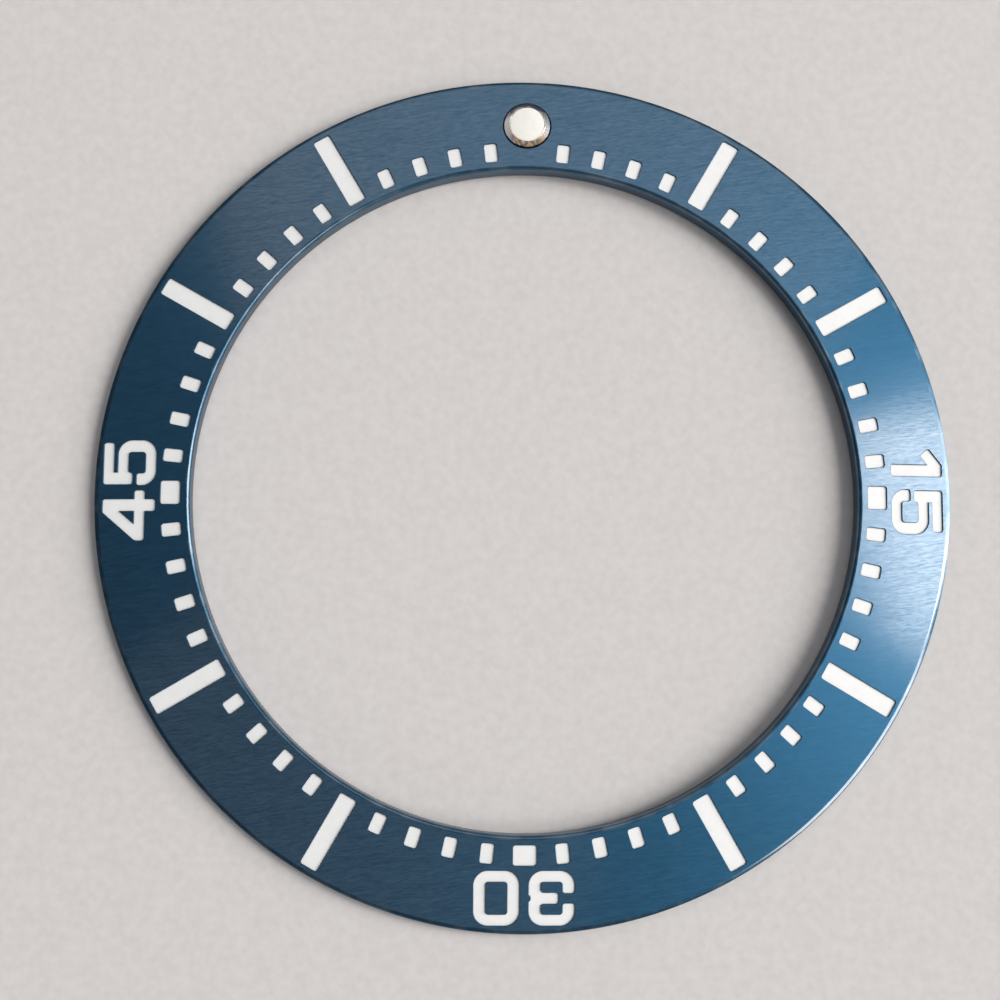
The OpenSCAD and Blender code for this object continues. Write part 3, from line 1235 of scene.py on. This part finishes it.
@dataclass(frozen=True)
class Pearl:
    """The pearl at zero: a turned cup with a polished bevel and a domed luminous pellet.

    Attributes:
        cone: the conical face.
        axis_y: distance of the pearl's axis from the ring's.
        cup_r: radius of the cup.
        bevel_h: height of the polished bevel below the lip.
        lip_stand: height of the lip above the face.
        lip_w: width of the flat lip.
        pocket_r: radius of the pellet's pocket.
        seat_h: height of the cup's underside.
        stem_r: radius of the stem.
        stem_back: height of the stem's end above the back.
        pellet_r: radius of the pellet.
        pellet_drop: depth of the pellet's edge below the lip.
        pellet_h: thickness of the pellet at its edge.
        dome: rise of its top.
        pellet_edge: width of its softened edge.
        turns: number of facets round both.
    """

    cone: Cone
    axis_y: float
    cup_r: float = 1.07
    bevel_h: float = 0.24
    lip_stand: float = 0.26
    lip_w: float = 0.03
    pocket_r: float = 0.81
    seat_h: float = 0.25
    stem_r: float = 0.65
    stem_back: float = 0.05
    pellet_r: float = 0.80
    pellet_drop: float = 0.02
    pellet_h: float = 0.33
    dome: float = 0.05
    pellet_edge: float = 0.04
    turns: int = 192

    @property
    def lip_z(self) -> float:
        """Height of the lip above the back."""
        return self.cone.at(self.axis_y) + self.lip_stand

    @property
    def floor_z(self) -> float:
        """Height of the pocket's floor above the back."""
        return self.lip_z - self.pellet_drop - self.pellet_h

    def cup_profile(self) -> Section:
        """Profile from the pocket's middle, up to the lip, over the bevel and down to the stem's end."""
        return Section.through([
            (0.0, self.floor_z, 0.0),
            (self.pocket_r, self.floor_z, 0.01),
            (self.pocket_r, self.lip_z, 0.008),
            (self.pocket_r + self.lip_w, self.lip_z, 0.02),
            (self.cup_r, self.lip_z - self.bevel_h, 0.05),
            (self.cup_r, self.seat_h, 0.02),
            (self.stem_r, self.seat_h, 0.01),
            (self.stem_r, self.stem_back, 0.02),
            (0.0, self.stem_back, 0.0),
        ], steps=5)

    def pellet_profile(self) -> Section:
        """Profile of the pellet: dome of height rise - (R - sqrt(R^2 - r^2)), a soft edge and a flat foot.

        Returns:
            The profile.
        """
        edge = self.pellet_edge
        ball = (self.pellet_r**2 + self.dome**2) / (2 * self.dome)
        radii = np.linspace(0, self.pellet_r - edge, 12)
        deep = np.sqrt(ball**2 - radii**2)
        crown = self.floor_z + self.pellet_h + self.dome
        top = Section.curve(radii, crown - ball + deep, -radii / deep)
        side = self.floor_z + self.pellet_h
        rest = Section.through([
            (radii[-1], float(top.heights[-1]), 0.0),
            (self.pellet_r, side, edge * 0.7),
            (self.pellet_r, self.floor_z, 0.02),
            (0.0, self.floor_z, 0.0),
        ])
        return top + rest

    def build(self, steel: bpy.types.Material, lume: bpy.types.Material) -> list[bpy.types.Object]:
        """Makes and dresses the cup and the pellet.

        Args:
            steel: finish of the cup.
            lume: finish of the pellet.

        Returns:
            The two pieces.
        """
        axis = Outline.circle((0.0, self.axis_y), self.turns)
        cup, pellet = Surface("turned_pearl_cup", self.cone), Surface("domed_pearl_pellet", self.cone)
        cup.sweep(axis, self.cup_profile())
        pellet.sweep(axis, self.pellet_profile())
        return [
            report(cup.make([steel]), ["pearl_cup"]),
            report(pellet.make([lume]), ["pearl_lume"]),
        ]


# Studio


@dataclass(frozen=True)
class SoftBox:
    """A rectangular lamp that faces the ring's middle.

    Attributes:
        name: its name.
        azimuth: direction in plan, in degrees from +X towards +Y.
        elevation: angle above the floor, in degrees.
        width: width in degrees, as seen from the ring.
        height: height in degrees.
        glow: brightness of its face, where 1 is white.
        colour: its colour.
        distance: distance from the ring.
    """

    name: str
    azimuth: float
    elevation: float
    width: float
    height: float
    glow: float
    colour: Triple = (1.0, 1.0, 1.0)
    distance: float = 1500.0

    def hang(self) -> None:
        """Puts the lamp into the scene: a face of size 2 * distance * tan(angle / 2), and a power of
        glow * pi * area, which gives that brightness whatever the size."""
        a, e = math.radians(self.azimuth), math.radians(self.elevation)
        towards = Vector((math.cos(a) * math.cos(e), math.sin(a) * math.cos(e), math.sin(e)))
        lamp = bpy.data.lights.new(self.name, "AREA")
        lamp.shape = "RECTANGLE"
        lamp.size = 2 * self.distance * MM * math.tan(math.radians(self.width / 2))
        lamp.size_y = 2 * self.distance * MM * math.tan(math.radians(self.height / 2))
        lamp.energy = self.glow * math.pi * lamp.size * lamp.size_y
        lamp.color = self.colour
        hung = bpy.data.objects.new(self.name, lamp)
        hung.location = towards * self.distance * MM
        hung.rotation_mode = "QUATERNION"
        hung.rotation_quaternion = towards.to_track_quat("Z", "Y")
        bpy.context.scene.collection.objects.link(hung)


@dataclass(frozen=True)
class Studio:
    """Floor, lamps, surroundings and camera.

    Attributes:
        boxes: the lamps.
        air: brightness and colour of the surroundings.
        floor_drop: distance of the floor below the ring's back, which rests on the paper's fibres.
        floor_level: radius of the level part of the floor.
        floor_r: radius of its edge.
        floor_rise: height of its edge.
        floor_turns: number of facets round it.
        floor_steps: number of rows in its curve.
        lens: focal length, for a sensor of the width SENSOR.
        clip: least and greatest distance that the camera sees.
        eye: place of the camera.
        right: direction of the picture's right side.
        up: direction of its upper side.
        back: direction from the scene to the camera.
    """

    boxes: tuple[SoftBox, ...] = (
        SoftBox("window_light", 7.5, 38.0, 16.6, 49.0, 10.9, (1.0, 0.985, 0.965)),
        SoftBox("side_window", -30.0, 42.0, 26.0, 30.0, 4.4, (1.0, 0.985, 0.965)),
        SoftBox("sky_panel", 81.5, 57.0, 43.0, 37.0, 1.06),
        SoftBox("ceiling_panel", -122.0, 71.0, 34.0, 16.0, 0.34),
        SoftBox("low_card", -100.0, 22.0, 90.0, 20.0, 0.5),
    )
    air: Rgba = (0.080, 0.085, 0.098, 1.0)
    floor_drop: float = 0.11
    floor_level: float = 500.0
    floor_r: float = 1150.0
    floor_rise: float = 262.0
    floor_turns: int = 96
    floor_steps: int = 24
    lens: float = 54.06
    clip: tuple[float, float] = (1.0, 10000.0)
    eye: Triple = (-3.079, -7.304, 68.412)
    right: Triple = (0.99958, 0.00510, 0.02864)
    up: Triple = (-0.00805, 0.99456, 0.10382)
    back: Triple = (-0.02796, -0.10401, 0.99418)

    def lay_floor(self, cone: Cone, paper: bpy.types.Material) -> None:
        """Lays a sheet of paper that is level under the ring and curves up far away all round.

        Args:
            cone: the conical face, which the sheet's surface takes but doesn't follow.
            paper: finish of the sheet.
        """
        surface = Surface("paper_floor", cone)
        low = -self.floor_drop
        bend = (self.floor_level, low, 0.8 * self.floor_level)
        corners = [(0.0, low, 0.0), bend, (self.floor_r, self.floor_rise, 0.0)]
        section = Section.through(corners, steps=self.floor_steps)
        surface.sweep(Outline.circle((0, 0), self.floor_turns), section)
        surface.make([paper])

    def fill_air(self) -> None:
        """Gives the surroundings an even dim light."""
        world = bpy.data.worlds.new("studio_air")
        world.use_nodes = True
        world.node_tree.nodes["Background"].inputs["Color"].default_value = self.air
        bpy.context.scene.world = world

    def set_camera(self) -> None:
        """Puts the camera where the photograph was taken from."""
        lens = bpy.data.cameras.new("camera")
        lens.sensor_width, lens.lens = SENSOR, self.lens
        lens.clip_start, lens.clip_end = (distance * MM for distance in self.clip)
        camera = bpy.data.objects.new("camera", lens)
        bpy.context.scene.collection.objects.link(camera)
        turn = Matrix((self.right, self.up, self.back)).transposed().to_4x4()
        camera.matrix_world = Matrix.Translation(Vector(self.eye) * MM) @ turn
        bpy.context.scene.camera = camera

    def build(self, cone: Cone, paper: bpy.types.Material) -> None:
        """Sets up the whole studio.

        Args:
            cone: the conical face, for the floor's surface.
            paper: finish of the floor.
        """
        self.lay_floor(cone, paper)
        self.fill_air()
        for box in self.boxes:
            box.hang()
            log.info("%s: hung at %.0f degrees, %.0f up", box.name, box.azimuth, box.elevation)
        self.set_camera()
        bpy.context.scene.view_settings.view_transform = "Standard"


def mount_radius(record: dict, name: str) -> float:
    """Radius in millimetres of a round mount of the record."""
    return next(m["dims"]["r_mm"] for m in record["mounts"] if m["name"] == name)


def main() -> None:
    """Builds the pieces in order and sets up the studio."""
    logging.basicConfig(level=logging.INFO, format="%(name)s %(message)s")
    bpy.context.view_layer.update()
    record, nodes = frame["record"], frame["nodes"]
    cone = Cone(mount_radius(record, "outer_rim"))
    cup_low, cup_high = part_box("pearl_cup")
    pearl_y = (cup_low.y + cup_high.y) / 2 / MM
    whole = {"insert_ring", "pearl_cup", "pearl_lume"}
    fills = EngravedFills(cone, {name: node for name, node in nodes.items() if name not in whole})
    ring = EngravedRing(cone, mount_radius(record, "inner_bore"), fills.outline(sorted(fills.nodes)), pearl_y)
    # walls, back, pockets and hole take the darker blue as painted shade; the pockets and hole also reflect less
    turned = TurnedAnodising("turned_anodising", coat=0.45, roughness=0.50)
    engraved = TurnedAnodising("engraved_anodising", coat=0.20, roughness=0.50)
    pieces = [ring.build([finish.material() for finish in (BrushedAnodising(), turned, RubbedEdge(), engraved)])]
    pieces += fills.build(WhiteLacquer().material())
    pieces += Pearl(cone, pearl_y).build(PolishedSteel(pearl_y).material(), LumeCompound().material())
    log.info("%d pieces stand for %d nodes", len(pieces), len(nodes))
    Studio().build(cone, StudioPaper().material())


if __name__ == "__main__":
    main()
